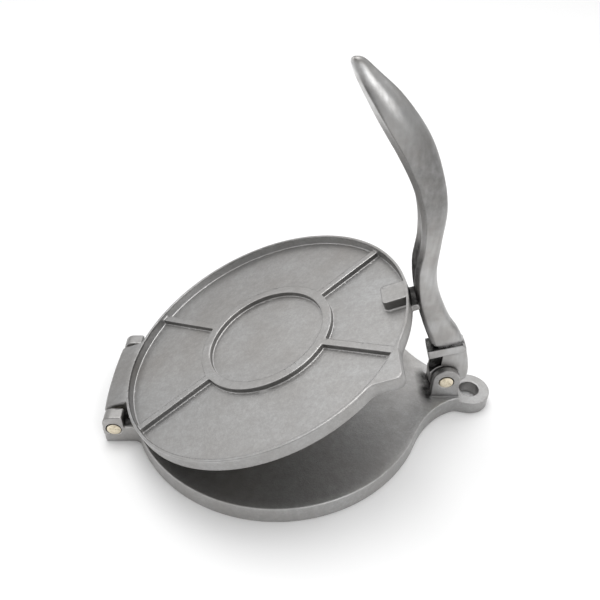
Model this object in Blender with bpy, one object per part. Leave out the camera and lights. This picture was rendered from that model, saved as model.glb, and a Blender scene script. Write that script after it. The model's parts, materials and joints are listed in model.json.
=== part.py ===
"""Patty press: two round cast plates hinged at one end and a lever at the other.

Axes: X runs from the lid hinge (-X) to the handle (+X), Y across, Z up.
The origin is at the middle of the whole press's length and width, on the surface
that it stands on. The sizes below are measured from the middle of the base plate,
and the empty named press_origin moves everything into place at the end.
The pose is a press left open: the lid leans on the handle's underside.
"""
import math

import bmesh
import bpy
from mathutils import Vector

MM = 0.001

# Driving dimensions, in millimetres.
PLATE_RADIUS = 100.0
BASE_THICKNESS = 13.2
PLATE_SEGMENTS = 96
OVERALL_MIDDLE_X = 15.1

# Lid hinge.
HINGE_X = -107.6
HINGE_Z = 11.5
LID_ANGLE = 22.4
EAR_INNER = 31.0
EAR_OUTER = 40.0
EAR_LEFT = -114.6
EAR_RIGHT = -100.8
EAR_TOP = 22.8
EAR_ROUND = 7.0
EAR_BEVEL = 1.4
EAR_SLOPE = 0.8
PLATFORM_END = -86.0

# Pins, and the worn holes in the ears that they turn in.
PIN_RADIUS = 4.4
FIT_GAP = 0.3
EAR_HOLE_RADIUS = 5.1
EAR_HOLE_RISE = 0.4
HINGE_PIN_INNER = 14.0
PIN_PROUD = 0.4
PIN_CHAMFER = 0.5
ROUND_SEGMENTS = 32
RING_SEGMENTS = 60

# How far a cutter runs past the face it cuts, and how far a joined shape reaches
# into the one that it grows out of.
PAST = 5.0
ROOT = 1.0

# Lid, in its own frame: u away from the hinge axis, v = Y, w off the lid's plane.
LID_RADIUS = 99.6
LID_CENTRE = 108.4
LID_BOTTOM = 2.0
LID_TOP = 10.8
LID_FLOOR = 4.3
RIM_INNER = 97.6
RING_INNER = 40.0
RING_OUTER = 46.4
RIB_HEIGHT = 3.6
RIB_WIDTH = 5.0
RIB_ANGLES = (33.0, 148.0, 212.0, 330.5)
RING_SHIFT = 1.7
BLOCK_START = 190.6
BLOCK_END = 206.6
BLOCK_HALF = 8.4
BLOCK_CORNER = 3.0
TAB_REACH = 87.6
TAB_SIDE = 72.4
TAB_CORNER = 5.0
NOSE_END = 209.1
NOSE_NEAR = -13.5
NOSE_FAR = 6.0
NOSE_TOP = 6.0
NOSE_CORNER = 1.5
NOSE_ROOT = 3.0
TONGUE_HALF = 28.6
TONGUE_RADIUS = 115.0
BARREL_RADIUS = 7.0

# Base underside: the same ring and ribs as on the lid, inside a rim that it stands on.
BASE_RIM_INNER = 95.0
BASE_FLOOR = 7.6
BARREL_RELIEF_X = -98.8
BARREL_RELIEF_HALF = 20.0

# Lug that carries the handle, and the hanging loop at its end.
LUG_HALF = 11.0
LUG_FILLET = 32.0
LOOP_X = 134.0
LOOP_RADIUS = 14.0
LOOP_HOLE_RADIUS = 6.6
LOOP_TOP = 10.4
LOOP_STEP_X = 125.5
HANDLE_EAR_INNER = 5.2
HANDLE_EAR_OUTER = 10.2
HANDLE_EAR_HALF = 9.4
HANDLE_EAR_CENTRE_Z = 27.6
HANDLE_EAR_FOOT = 8.0

# Handle.
PIVOT_X = 113.9
PIVOT_Z = 26.4
HUB_HALF = 4.7
HUB_RADIUS = 11.3
COLLAR_HALF = 7.0
COLLAR = ((100.0, 44.9), (121.6, 51.9), (123.6, 55.0), (120.6, 58.2), (98.4, 51.8))

# The hub's side view beyond its round lower part, from the heel up to the collar,
# as X and Z from the pivot.
HUB_ROUND_END = 335.0
HUB_BACK = (
    (14.4, -0.6), (14.8, 4.0), (14.5, 9.6), (13.0, 17.0),
    (10.6, 25.5), (4.0, 29.0), (-11.0, 25.0), (-11.9, 17.0),
)

# Lever sections from the collar to the tip, each as
# (underside x, z), (outer side x, z), half width, squareness of the outer side.
LEVER_SECTIONS = (
    ((101.0, 54.8), (124.8, 52.4), 5.0, 5.0),
    ((96.1, 66.4), (117.2, 67.0), 5.3, 4.5),
    ((91.6, 77.8), (109.5, 78.3), 5.8, 4.0),
    ((85.6, 96.3), (100.3, 98.5), 8.8, 3.6),
    ((82.2, 117.0), (96.0, 116.5), 10.6, 3.2),
    ((83.0, 136.0), (95.8, 137.2), 11.3, 3.0),
    ((80.7, 154.9), (96.1, 159.6), 12.1, 2.6),
    ((74.4, 174.1), (91.1, 180.2), 12.9, 2.2),
    ((64.7, 192.7), (81.4, 201.9), 13.7, 2.0),
    ((52.3, 212.2), (66.1, 221.8), 12.5, 2.0),
    ((43.1, 227.4), (51.0, 235.4), 8.4, 2.0),
    ((38.2, 236.0), (42.0, 242.2), 3.4, 2.2),
)
LEVER_TIP = (38.6, 242.0)

# Rings between two sections, and steps around the outer side.
LEVER_STEPS = 4
LEVER_ROUND = 22

# The groove runs between these sections; the rest are shares of the half width or depth.
GROOVE_START = 3
GROOVE_END = 10
GROOVE_DEPTH = 2.2
GROOVE_HALF = 0.62
GROOVE_FLOOR = 0.42
FLAT_HALF = 0.80
SHOULDER = 0.16

# Colours (linear RGB) and finishes.
CAST_ALUMINIUM = (0.36, 0.36, 0.36, 1.0)
POLISHED_ALUMINIUM = (0.42, 0.42, 0.42, 1.0)
PIN_STEEL = (0.60, 0.55, 0.44, 1.0)


def clear_scene():
    for item in list(bpy.data.objects):
        bpy.data.objects.remove(item, do_unlink=True)


def material(name, colour, roughness):
    finish = bpy.data.materials.new(name)
    finish.use_nodes = True
    shader = finish.node_tree.nodes["Principled BSDF"]
    shader.inputs["Base Color"].default_value = colour
    shader.inputs["Roughness"].default_value = roughness
    shader.inputs["Metallic"].default_value = 1.0
    return finish


def add_object(name, mesh):
    item = bpy.data.objects.new(name, mesh)
    bpy.context.scene.collection.objects.link(item)
    return item


def mesh_from(name, build):
    """Make a mesh in metres from a function that fills a bmesh in millimetres."""
    shape = bmesh.new()
    build(shape)
    bmesh.ops.recalc_face_normals(shape, faces=shape.faces)
    bmesh.ops.scale(shape, vec=(MM, MM, MM), verts=shape.verts)
    mesh = bpy.data.meshes.new(name)
    shape.to_mesh(mesh)
    shape.free()
    return mesh


def prism(name, outline, low, high, place):
    """Extrude a closed outline from low to high; place(a, b, c) turns it into X, Y, Z."""
    def build(shape):
        bottom = [shape.verts.new(place(a, b, low)) for a, b in outline]
        top = [shape.verts.new(place(a, b, high)) for a, b in outline]
        shape.faces.new(bottom)
        shape.faces.new(top)
        for i in range(len(outline)):
            j = (i + 1) % len(outline)
            shape.faces.new((bottom[i], bottom[j], top[j], top[i]))
    return add_object(name, mesh_from(name, build))


def upright(a, b, c):
    return (a, b, c)


def sideways(a, b, c):
    """An outline in X and Z, extruded along Y."""
    return (a, c, b)


def arc(centre_a, centre_b, radius, start, end, steps):
    """Points on an arc, angles in degrees, both ends included."""
    points = []
    for i in range(steps + 1):
        angle = math.radians(start + (end - start) * i / steps)
        points.append((centre_a + radius * math.cos(angle), centre_b + radius * math.sin(angle)))
    return points


def circle(centre_a, centre_b, radius, steps):
    return arc(centre_a, centre_b, radius, 0.0, 360.0, steps)[:-1]


def evaluated(item):
    """Give the object its modifiers' result as its mesh."""
    graph = bpy.context.evaluated_depsgraph_get()
    mesh = bpy.data.meshes.new_from_object(item.evaluated_get(graph))
    item.modifiers.clear()
    item.data = mesh


def combine(item, other, operation):
    """Apply an exact Boolean with another object, then remove that object."""
    step = item.modifiers.new(operation.lower(), "BOOLEAN")
    step.operation = operation
    step.solver = "EXACT"
    step.object = other
    evaluated(item)
    bpy.data.objects.remove(other, do_unlink=True)


def join(item, others):
    for other in others:
        combine(item, other, "UNION")


def cut(item, cutters):
    for cutter in cutters:
        combine(item, cutter, "DIFFERENCE")


def finish_piece(item, finish, smooth_angle=30.0):
    """Clean the mesh, shade it and give it its material."""
    shape = bmesh.new()
    shape.from_mesh(item.data)
    bmesh.ops.remove_doubles(shape, verts=shape.verts, dist=0.00002)
    bmesh.ops.dissolve_limit(shape, angle_limit=math.radians(0.3), verts=shape.verts, edges=shape.edges)
    bmesh.ops.triangulate(shape, faces=shape.faces)
    shape.to_mesh(item.data)
    shape.free()
    item.data.materials.clear()
    item.data.materials.append(finish)
    item.data.shade_smooth()
    item.data.set_sharp_from_angle(angle=math.radians(smooth_angle))


def ear_outline():
    """Side view of a hinge ear, standing on the platform that joins it to the plate."""
    rounded = arc(EAR_LEFT + EAR_ROUND, EAR_TOP - EAR_ROUND, EAR_ROUND, 180.0, 90.0, 6)
    return [(EAR_LEFT, 0.0)] + rounded + [
        (EAR_RIGHT - EAR_BEVEL, EAR_TOP),
        (EAR_RIGHT, EAR_TOP - EAR_BEVEL),
        (EAR_RIGHT + EAR_SLOPE, BASE_THICKNESS),
        (PLATFORM_END, BASE_THICKNESS),
        (PLATFORM_END, 0.0),
    ]


def plate_outline():
    """Top view of the base: disc, concave fillets, lug and loop, as one closed line."""
    fillet_y = LUG_HALF + LUG_FILLET
    fillet_x = math.sqrt((PLATE_RADIUS + LUG_FILLET) ** 2 - fillet_y ** 2)
    disc_angle = math.degrees(math.atan2(fillet_y, fillet_x))
    neck_x = LOOP_X - math.sqrt(LOOP_RADIUS ** 2 - LUG_HALF ** 2)
    loop_angle = math.degrees(math.atan2(LUG_HALF, neck_x - LOOP_X))
    # The fillet turns from the disc to the neck; the neck ends it before it runs level.
    end_angle = math.degrees(math.asin((neck_x - fillet_x) / LUG_FILLET)) - 90.0
    upper = arc(fillet_x, fillet_y, LUG_FILLET, end_angle, disc_angle - 180.0, 10)
    disc = arc(0.0, 0.0, PLATE_RADIUS, disc_angle, 360.0 - disc_angle, PLATE_SEGMENTS)
    lower = [(x, -y) for x, y in reversed(upper)]
    loop = arc(LOOP_X, 0.0, LOOP_RADIUS, -loop_angle, loop_angle, 20)
    return upper + disc[1:] + lower[1:] + loop[1:-1]


def rib_reach(angle, rim_radius, shift):
    """How far a rib of the shifted ring runs before it is a little inside the rim."""
    cos, sin = math.cos(math.radians(angle)), math.sin(math.radians(angle))
    return math.sqrt((rim_radius + ROOT) ** 2 - (shift * sin) ** 2) - shift * cos


def rib_outline(centre_x, angle, reach):
    """A rib from the ring outwards, starting a little inside the ring."""
    along = Vector((math.cos(math.radians(angle)), math.sin(math.radians(angle))))
    across = Vector((-along.y, along.x)) * (RIB_WIDTH / 2.0)
    start = along * (RING_OUTER - ROOT)
    end = along * reach
    corners = (start - across, end - across, end + across, start + across)
    return [(centre_x + point.x, point.y) for point in corners]


def ring_and_ribs(plate_x, shift, rim_radius, low, high):
    """The raised ring, shifted from the plate's centre, and its four ribs."""
    centre_x = plate_x + shift
    ring = prism("ring", circle(centre_x, 0.0, RING_OUTER, RING_SEGMENTS), low, high, upright)
    for angle in RIB_ANGLES:
        outline = rib_outline(centre_x, angle, rib_reach(angle, rim_radius, shift))
        join(ring, [prism("rib", outline, low, high, upright)])
    bore = circle(centre_x, 0.0, RING_INNER, RING_SEGMENTS)
    cut(ring, [prism("cutter", bore, low - PAST, high + PAST, upright)])
    return ring


def make_base(finish):
    base = prism("base", plate_outline(), 0.0, BASE_THICKNESS, upright)
    ears = [
        prism("ear", ear_outline(), side * EAR_INNER, side * EAR_OUTER, sideways)
        for side in (-1.0, 1.0)
    ]
    lug_ear = (
        [(PIVOT_X + HANDLE_EAR_HALF, HANDLE_EAR_FOOT)]
        + arc(PIVOT_X, HANDLE_EAR_CENTRE_Z, HANDLE_EAR_HALF, 0.0, 180.0, 14)
        + [(PIVOT_X - HANDLE_EAR_HALF, HANDLE_EAR_FOOT)]
    )
    ears += [
        prism("ear", lug_ear, side * HANDLE_EAR_INNER, side * HANDLE_EAR_OUTER, sideways)
        for side in (-1.0, 1.0)
    ]
    join(base, ears)
    loop_end = LOOP_X + LOOP_RADIUS + PAST
    loop_side = LOOP_RADIUS + PAST
    above_loop = [
        (LOOP_STEP_X, -loop_side),
        (loop_end, -loop_side),
        (loop_end, loop_side),
        (LOOP_STEP_X, loop_side),
    ]
    hinge_hole = circle(HINGE_X, HINGE_Z + EAR_HOLE_RISE, EAR_HOLE_RADIUS, ROUND_SEGMENTS)
    pivot_hole = circle(PIVOT_X, PIVOT_Z + EAR_HOLE_RISE, EAR_HOLE_RADIUS, ROUND_SEGMENTS)
    barrel_room = [
        (HINGE_X, -BARREL_RELIEF_HALF),
        (BARREL_RELIEF_X, -BARREL_RELIEF_HALF),
        (BARREL_RELIEF_X, BARREL_RELIEF_HALF),
        (HINGE_X, BARREL_RELIEF_HALF),
    ]
    loop_hole = circle(LOOP_X, 0.0, LOOP_HOLE_RADIUS, ROUND_SEGMENTS)
    over = BASE_THICKNESS + PAST
    cut(base, [
        prism("cutter", above_loop, LOOP_TOP, over, upright),
        prism("cutter", loop_hole, -PAST, over, upright),
        prism("cutter", barrel_room, -PAST, over, upright),
        prism("cutter", hinge_hole, -EAR_OUTER - PAST, EAR_OUTER + PAST, sideways),
        prism("cutter", pivot_hole, -HANDLE_EAR_OUTER - PAST, HANDLE_EAR_OUTER + PAST, sideways),
    ])
    recess = circle(0.0, 0.0, BASE_RIM_INNER, PLATE_SEGMENTS)
    cut(base, [prism("cutter", recess, -PAST, BASE_FLOOR, upright)])
    ring_bottom = BASE_FLOOR - RIB_HEIGHT
    join(base, [ring_and_ribs(0.0, 0.0, BASE_RIM_INNER, ring_bottom, BASE_FLOOR + ROOT)])
    finish_piece(base, finish)
    return base


def lid_outline():
    """Top view of the lid about its hinge axis: disc, square-cornered tab and hinge tongue."""
    tongue_angle = math.degrees(math.asin(TONGUE_HALF / TONGUE_RADIUS))
    root_angle = math.degrees(math.asin(TONGUE_HALF / LID_RADIUS))
    tab_far = math.degrees(math.acos(TAB_REACH / LID_RADIUS))
    tab_near = math.degrees(math.asin(TAB_SIDE / LID_RADIUS))
    corner = arc(
        LID_CENTRE + TAB_REACH - TAB_CORNER, -(TAB_SIDE - TAB_CORNER), TAB_CORNER, -90.0, 0.0, 6
    )
    disc = arc(LID_CENTRE, 0.0, LID_RADIUS, -tab_far, 180.0 - root_angle, PLATE_SEGMENTS // 2)
    tongue = arc(LID_CENTRE, 0.0, TONGUE_RADIUS, 180.0 - tongue_angle, 180.0 + tongue_angle, 12)
    disc_end = arc(
        LID_CENTRE, 0.0, LID_RADIUS, 180.0 + root_angle, 360.0 - tab_near, PLATE_SEGMENTS // 3
    )
    return disc + tongue + disc_end + corner


def rounded_box(low_a, high_a, half_b, radius):
    """A rectangle whose two corners at low_a are rounded."""
    return (
        [(high_a, -half_b), (high_a, half_b)]
        + arc(low_a + radius, half_b - radius, radius, 90.0, 180.0, 5)
        + arc(low_a + radius, -half_b + radius, radius, 180.0, 270.0, 5)
    )


def make_lid(finish, hinge):
    lid = prism("lid", lid_outline(), LID_BOTTOM, LID_TOP, upright)
    barrel = circle(0.0, 0.0, BARREL_RADIUS, ROUND_SEGMENTS)
    nose_start = LID_CENTRE + LID_RADIUS - NOSE_ROOT
    nose = [
        (nose_start, NOSE_NEAR),
        (NOSE_END - NOSE_CORNER, NOSE_NEAR),
        (NOSE_END, NOSE_NEAR + NOSE_CORNER),
        (NOSE_END, NOSE_FAR - NOSE_CORNER),
        (NOSE_END - NOSE_CORNER, NOSE_FAR),
        (nose_start, NOSE_FAR),
    ]
    join(lid, [
        prism("barrel", barrel, -TONGUE_HALF, TONGUE_HALF, sideways),
        prism("nose", nose, LID_BOTTOM, NOSE_TOP, upright),
    ])
    recess = circle(LID_CENTRE, 0.0, RIM_INNER, PLATE_SEGMENTS)
    cut(lid, [prism("cutter", recess, LID_FLOOR, LID_TOP + PAST, upright)])
    root = LID_FLOOR - ROOT
    ring = ring_and_ribs(LID_CENTRE, RING_SHIFT, RIM_INNER, root, LID_FLOOR + RIB_HEIGHT)
    block = rounded_box(BLOCK_START, BLOCK_END, BLOCK_HALF, BLOCK_CORNER)
    join(lid, [ring, prism("block", block, root, LID_TOP, upright)])
    pin_room = circle(0.0, 0.0, PIN_RADIUS + FIT_GAP, ROUND_SEGMENTS)
    for side in (-1.0, 1.0):
        inner = side * (HINGE_PIN_INNER - FIT_GAP)
        outer = side * (TONGUE_HALF + PAST)
        cut(lid, [prism("cutter", pin_room, inner, outer, sideways)])
    finish_piece(lid, finish)
    lid.parent = hinge
    return lid


def make_pin(name, inner, outer, finish, axis):
    """A plain round pin along Y with chamfered ends; its parent lies on the pin's axis."""
    low, high = sorted((inner, outer))
    profile = (
        (low, PIN_RADIUS - PIN_CHAMFER),
        (low + PIN_CHAMFER, PIN_RADIUS),
        (high - PIN_CHAMFER, PIN_RADIUS),
        (high, PIN_RADIUS - PIN_CHAMFER),
    )

    def build(shape):
        rings = []
        for y, radius in profile:
            points = circle(0.0, 0.0, radius, ROUND_SEGMENTS)
            rings.append([shape.verts.new((a, y, b)) for a, b in points])
        shape.faces.new(rings[0])
        shape.faces.new(rings[-1])
        for first, second in zip(rings, rings[1:]):
            for i in range(ROUND_SEGMENTS):
                j = (i + 1) % ROUND_SEGMENTS
                shape.faces.new((first[i], first[j], second[j], second[i]))

    pin = add_object(name, mesh_from(name, build))
    finish_piece(pin, finish)
    pin.parent = axis
    return pin


def spline(values, position):
    """Catmull-Rom value at a position along a list of vectors."""
    last = len(values) - 1
    i = min(int(position), last - 1)
    t = position - i
    p0 = values[max(i - 1, 0)]
    p1 = values[i]
    p2 = values[i + 1]
    p3 = values[min(i + 2, last)]
    return 0.5 * (
        2.0 * p1
        + (p2 - p0) * t
        + (2.0 * p0 - 5.0 * p1 + 4.0 * p2 - p3) * t ** 2
        + (3.0 * p1 - p0 - 3.0 * p2 + p3) * t ** 3
    )


def lever_ring(position):
    """One cross-section of the lever: a rounded outer side, a flat underside with a groove."""
    under = spline([Vector(row[0]) for row in LEVER_SECTIONS], position)
    outer = spline([Vector(row[1]) for row in LEVER_SECTIONS], position)
    sizes = spline([Vector((row[2], row[3])) for row in LEVER_SECTIONS], position)
    half_width, square = sizes
    depth = (outer - under).length
    fade = min(position - GROOVE_START, GROOVE_END - position, 1.0)
    groove = GROOVE_DEPTH * max(fade, 0.0) / depth
    ring = []
    for i in range(LEVER_ROUND + 1):
        angle = math.pi * i / LEVER_ROUND
        across = -math.copysign(abs(math.cos(angle)) ** (2.0 / square), math.cos(angle))
        height = math.sin(angle) ** (2.0 / square)
        point = under.lerp(outer, SHOULDER + (1.0 - SHOULDER) * height)
        ring.append((point.x, half_width * across, point.y))
    flat = ((FLAT_HALF, 0.0), (GROOVE_HALF, 0.0), (GROOVE_FLOOR, groove))
    for across, share in flat:
        point = under.lerp(outer, share)
        ring.append((point.x, half_width * across, point.y))
    for across, share in reversed(flat):
        point = under.lerp(outer, share)
        ring.append((point.x, -half_width * across, point.y))
    return ring


def build_lever(shape):
    count = (len(LEVER_SECTIONS) - 1) * LEVER_STEPS
    rings = []
    for i in range(count + 1):
        ring = lever_ring(i / LEVER_STEPS)
        rings.append([shape.verts.new(point) for point in ring])
    shape.faces.new(rings[0])
    for first, second in zip(rings, rings[1:]):
        size = len(first)
        for i in range(size):
            j = (i + 1) % size
            shape.faces.new((first[i], first[j], second[j], second[i]))
    tip = shape.verts.new((LEVER_TIP[0], 0.0, LEVER_TIP[1]))
    last = rings[-1]
    for i in range(len(last)):
        shape.faces.new((last[i], last[(i + 1) % len(last)], tip))


def make_handle(finish, pivot):
    handle = add_object("handle", mesh_from("handle", build_lever))
    hub = arc(PIVOT_X, PIVOT_Z, HUB_RADIUS, 180.0, HUB_ROUND_END, 18)
    hub += [(PIVOT_X + x, PIVOT_Z + z) for x, z in HUB_BACK]
    join(handle, [
        prism("collar", COLLAR, -COLLAR_HALF, COLLAR_HALF, sideways),
        prism("hub", hub, -HUB_HALF, HUB_HALF, sideways),
    ])
    pin_room = circle(PIVOT_X, PIVOT_Z, PIN_RADIUS + FIT_GAP, ROUND_SEGMENTS)
    cut(handle, [prism("cutter", pin_room, -HUB_HALF - PAST, HUB_HALF + PAST, sideways)])
    handle.data.transform(pivot.matrix_world.inverted())
    finish_piece(handle, finish)
    handle.parent = pivot
    return handle


def axis_empty(name, x, z, lift):
    """An empty on a joint's axis, turned about Y so that its X axis rises by lift degrees."""
    axis = bpy.data.objects.new(name, None)
    bpy.context.scene.collection.objects.link(axis)
    axis.location = (x * MM, 0.0, z * MM)
    axis.rotation_euler = (0.0, -math.radians(lift), 0.0)
    bpy.context.view_layer.update()
    return axis


def main():
    clear_scene()
    plate = material("cast_aluminium", CAST_ALUMINIUM, 0.45)
    lever = material("polished_aluminium", POLISHED_ALUMINIUM, 0.32)
    steel = material("pin_steel", PIN_STEEL, 0.5)
    hinge = axis_empty("lid_hinge_axis", HINGE_X, HINGE_Z, LID_ANGLE)
    pivot = axis_empty("handle_pivot_axis", PIVOT_X, PIVOT_Z, 0.0)
    origin = bpy.data.objects.new("press_origin", None)
    bpy.context.scene.collection.objects.link(origin)
    base = make_base(plate)
    make_lid(plate, hinge)
    make_handle(lever, pivot)
    for name, side in (("hinge_pin_front", -1.0), ("hinge_pin_back", 1.0)):
        make_pin(name, side * HINGE_PIN_INNER, side * (EAR_OUTER + PIN_PROUD), steel, hinge)
    reach = HANDLE_EAR_OUTER + PIN_PROUD
    make_pin("handle_pin", -reach, reach, steel, pivot)
    for item in (base, hinge, pivot):
        item.parent = origin
    origin.location.x = -OVERALL_MIDDLE_X * MM


main()
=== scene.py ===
"""Patty press, left open: fine meshes, finishes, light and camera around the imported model.

The castings are described as signed distances in millimetres, negative inside, so that
walls meet floors in cast fillets and outer edges are rounded. OpenVDB turns each field
into a mesh. X, Y and Z start under the middle of the base plate; place() moves a mesh
from there into the frame. The lid's own axes are u, away from its hinge axis, v along Y,
and w off the lid's plane.
"""
import json
import math

import bmesh
import bpy
import numpy as np
import openvdb
from mathutils import Matrix, Vector


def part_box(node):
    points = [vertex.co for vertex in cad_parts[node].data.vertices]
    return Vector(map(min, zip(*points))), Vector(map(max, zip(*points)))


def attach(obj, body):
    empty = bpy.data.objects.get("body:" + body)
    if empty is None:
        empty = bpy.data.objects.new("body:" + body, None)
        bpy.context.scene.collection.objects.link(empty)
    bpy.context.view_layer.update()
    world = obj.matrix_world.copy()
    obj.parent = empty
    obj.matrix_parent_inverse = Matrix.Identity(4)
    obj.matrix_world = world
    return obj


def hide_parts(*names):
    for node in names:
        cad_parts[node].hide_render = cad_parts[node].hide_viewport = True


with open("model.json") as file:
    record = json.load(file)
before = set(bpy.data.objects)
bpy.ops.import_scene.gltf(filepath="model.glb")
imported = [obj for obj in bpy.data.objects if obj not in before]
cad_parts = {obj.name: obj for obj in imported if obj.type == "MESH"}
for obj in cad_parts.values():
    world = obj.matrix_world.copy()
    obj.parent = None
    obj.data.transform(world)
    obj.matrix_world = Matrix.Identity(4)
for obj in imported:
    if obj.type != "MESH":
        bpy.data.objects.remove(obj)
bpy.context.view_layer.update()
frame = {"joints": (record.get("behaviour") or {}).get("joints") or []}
joints = {joint["name"]: joint for joint in frame["joints"]}

MM = 0.001
HINGE = Vector(joints["lid_hinge"]["pos_m"])
PIVOT = Vector(joints["handle_pivot"]["pos_m"])
LID_ANGLE = -joints["lid_hinge"]["range_deg"][0]

# Plates.
PLATE_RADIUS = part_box("base")[1].y / MM
BASE_THICKNESS = 13.2
HINGE_X = -107.6
HINGE_Z = HINGE.z / MM
PIVOT_X = HINGE_X + (PIVOT.x - HINGE.x) / MM
PIVOT_Z = PIVOT.z / MM
ORIGIN_X = HINGE.x / MM - HINGE_X

# Hinge ears and the platform that they stand on.
EAR_INNER = 31.0
EAR_OUTER = 40.0
EAR_LEFT = -114.6
EAR_RIGHT = -100.8
EAR_TOP = 22.8
EAR_ROUND = 6.5
EAR_EDGE = 0.7
EAR_CORNER = 1.6
EAR_FOOT = 1.0
EAR_ROOT = 6.0
PLATFORM_END = -86.0
PLATFORM_CORNER = 0.8
PLATFORM_FILLET = 4.0

# Pins, and the worn holes in the ears that they turn in.
PIN_RADIUS = 4.4
EAR_HOLE_RADIUS = 5.1
EAR_HOLE_RISE = 0.45
HINGE_PIN_INNER = 14.0
PIN_PROUD = 0.4
PIN_BORE_RADIUS = 4.5
BORE_EDGE = 0.4
# How far the ears' holes and the tongue's bores run past the metal and the pins.
EAR_HOLE_PAST = 4.0
BORE_PAST = 0.5
# The pins' outer ends are hammered a little wider, and domed by this drop at their rim.
PEENED_RADIUS = 4.62
PEENED_DROP = 0.5
PEENED_LENGTH = 1.4
PEENED_END = 2.2
PIN_CHAMFER = 0.5
PIN_SEGMENTS = 64

# Lid.
LID_RADIUS = 99.6
LID_CENTRE = 108.4
LID_BOTTOM = 2.0
LID_TOP = 10.8
LID_FLOOR = 4.3
RIM_INNER = 97.6
RING_INNER = 40.0
RING_OUTER = 46.4
RIB_HEIGHT = 3.6
RIB_WIDTH = 5.0
RIB_FILLET = 1.2
RIB_ANGLES = (33.0, 148.0, 212.0, 330.5)
RING_SHIFT = 1.7
BLOCK_START = 190.6
BLOCK_END = 206.6
BLOCK_HALF = 8.4
BLOCK_CORNER = 3.0
TAB_START = 150.0
TAB_REACH = 87.6
TAB_SIDE = 72.4
TAB_INNER = 30.0
TAB_CORNER = 5.0
TAB_FILLET = 2.0
NOSE_START = 200.0
NOSE_END = 211.7
NOSE_NEAR = -13.5
NOSE_FAR = 6.0
NOSE_TOP = 6.0
NOSE_CORNER = 1.0
NOSE_EDGE = 0.8
TONGUE_HALF = 28.6
TONGUE_RADIUS = 250.0
TONGUE_BACK = -6.6
TONGUE_ROLL = 4.0
TONGUE_END = 40.0
TONGUE_EDGE = 0.8
TONGUE_BACK_EDGE = 1.0
TONGUE_FILLET = 1.2
BARREL_RADIUS = 7.0
BARREL_FILLET = 2.5

# Base underside.
BASE_RIM_INNER = 95.0
BASE_FLOOR = 7.6
BARREL_RELIEF_X = -98.8
BARREL_RELIEF_REACH = 20.0
BARREL_RELIEF_HALF = 20.0
BARREL_RELIEF_CORNER = 1.0

# Lug that carries the handle, and the hanging loop at its end.
LUG_START = 40.0
LUG_HALF = 11.0
LUG_FILLET = 32.0
LOOP_X = 134.0
LOOP_RADIUS = 14.0
LOOP_NECK_FILLET = 4.0
LOOP_HOLE_RADIUS = 6.6
LOOP_HOLE_EDGE = 0.9
LOOP_TOP = 10.4
LOOP_STEP_X = 125.5
LOOP_STEP_FILLET = 0.8
HANDLE_EAR_INNER = 5.2
HANDLE_EAR_OUTER = 10.2
HANDLE_EAR_HALF = 9.4
HANDLE_EAR_CENTRE_Z = 27.6
HANDLE_EAR_EDGE = 0.8
HANDLE_EAR_FOOT = 1.2
HANDLE_EAR_ROOT = 5.0

# Handle.
HUB_HALF = 4.7
HUB_RADIUS = 11.3
HUB_EDGE = 0.8
HUB_FILLET = 1.5
COLLAR_HALF = 7.0
COLLAR_EDGE = 0.7
COLLAR_FILLET = 0.8
COLLAR = ((100.0, 44.9), (121.6, 51.9), (123.6, 55.0), (120.6, 58.2), (98.4, 51.8))
HUB_ROUND_END = 335.0
HUB_BACK = (
    (14.4, -0.6), (14.8, 4.0), (14.5, 9.6), (13.0, 17.0),
    (10.6, 25.5), (4.0, 29.0), (-11.0, 25.0), (-11.9, 17.0),
)
# The pocket on each side of the hub, under the collar's heel, and half of the web left there.
POCKET_X = (PIVOT_X - 16.0, PIVOT_X - 4.4)
POCKET_Z = (PIVOT_Z + 5.0, PIVOT_Z + 30.0)
POCKET_WEB = 2.0
POCKET_CORNER = 1.5
POCKET_EDGE = 0.4
HUB_WALL = 0.3

# Lever sections from the collar to the tip, each as
# (underside x, z), (outer side x, z), half width, squareness of the outer side.
LEVER_SECTIONS = (
    ((101.0, 54.8), (124.8, 52.4), 5.0, 5.0),
    ((96.1, 66.4), (117.2, 67.0), 5.3, 4.5),
    ((91.6, 77.8), (109.5, 78.3), 5.8, 4.0),
    ((85.6, 96.3), (100.3, 98.5), 8.8, 3.6),
    ((82.2, 117.0), (96.0, 116.5), 10.6, 3.2),
    ((83.0, 136.0), (95.8, 137.2), 11.3, 3.0),
    ((80.7, 154.9), (96.1, 159.6), 12.1, 2.6),
    ((74.4, 174.1), (91.1, 180.2), 12.9, 2.2),
    ((64.7, 192.7), (81.4, 201.9), 13.7, 2.0),
    ((52.3, 212.2), (66.1, 221.8), 12.5, 2.0),
    ((43.1, 227.4), (51.0, 235.4), 8.4, 2.0),
    ((38.9, 234.9), (43.8, 241.3), 4.8, 2.0),
    ((37.0, 239.4), (39.2, 242.1), 2.2, 2.0),
)
LEVER_TIP = (37.4, 241.4)
LEVER_STEPS = 14
LEVER_ROUND = 56
GROOVE_START = 3
GROOVE_END = 10
GROOVE_DEPTH = 2.2
GROOVE_HALF = 0.62
GROOVE_FLOOR = 0.42
FLAT_HALF = 0.80
SHOULDER = 0.16

# Rounding of cast edges and corners.
EDGE = 0.5
SMALL_EDGE = 0.2
FILLET = 0.4

# How far ribs and the block run into the metal that they are joined to.
ROOT = 1.0

# Meshing: the voxel, the room around a casting and the band of distances kept, in mm.
VOXEL = 0.4
MARGIN = 2.0
BAND = 4.0
ADAPTIVITY = 0.02

# Heights on the lever where its painted shade, painted highlights and the grip's tarnish change.
LEVER_START = 58.0
LEVER_MIDDLE = 105.0
UNDERSIDE_DARK_END = 128.0
UNDERSIDE_EDGE_START = 140.0
ARRIS_START = 172.0
GRIP_MIDDLE = 176.0
TIP_START = 236.0
CAP_START = 238.0
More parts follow.
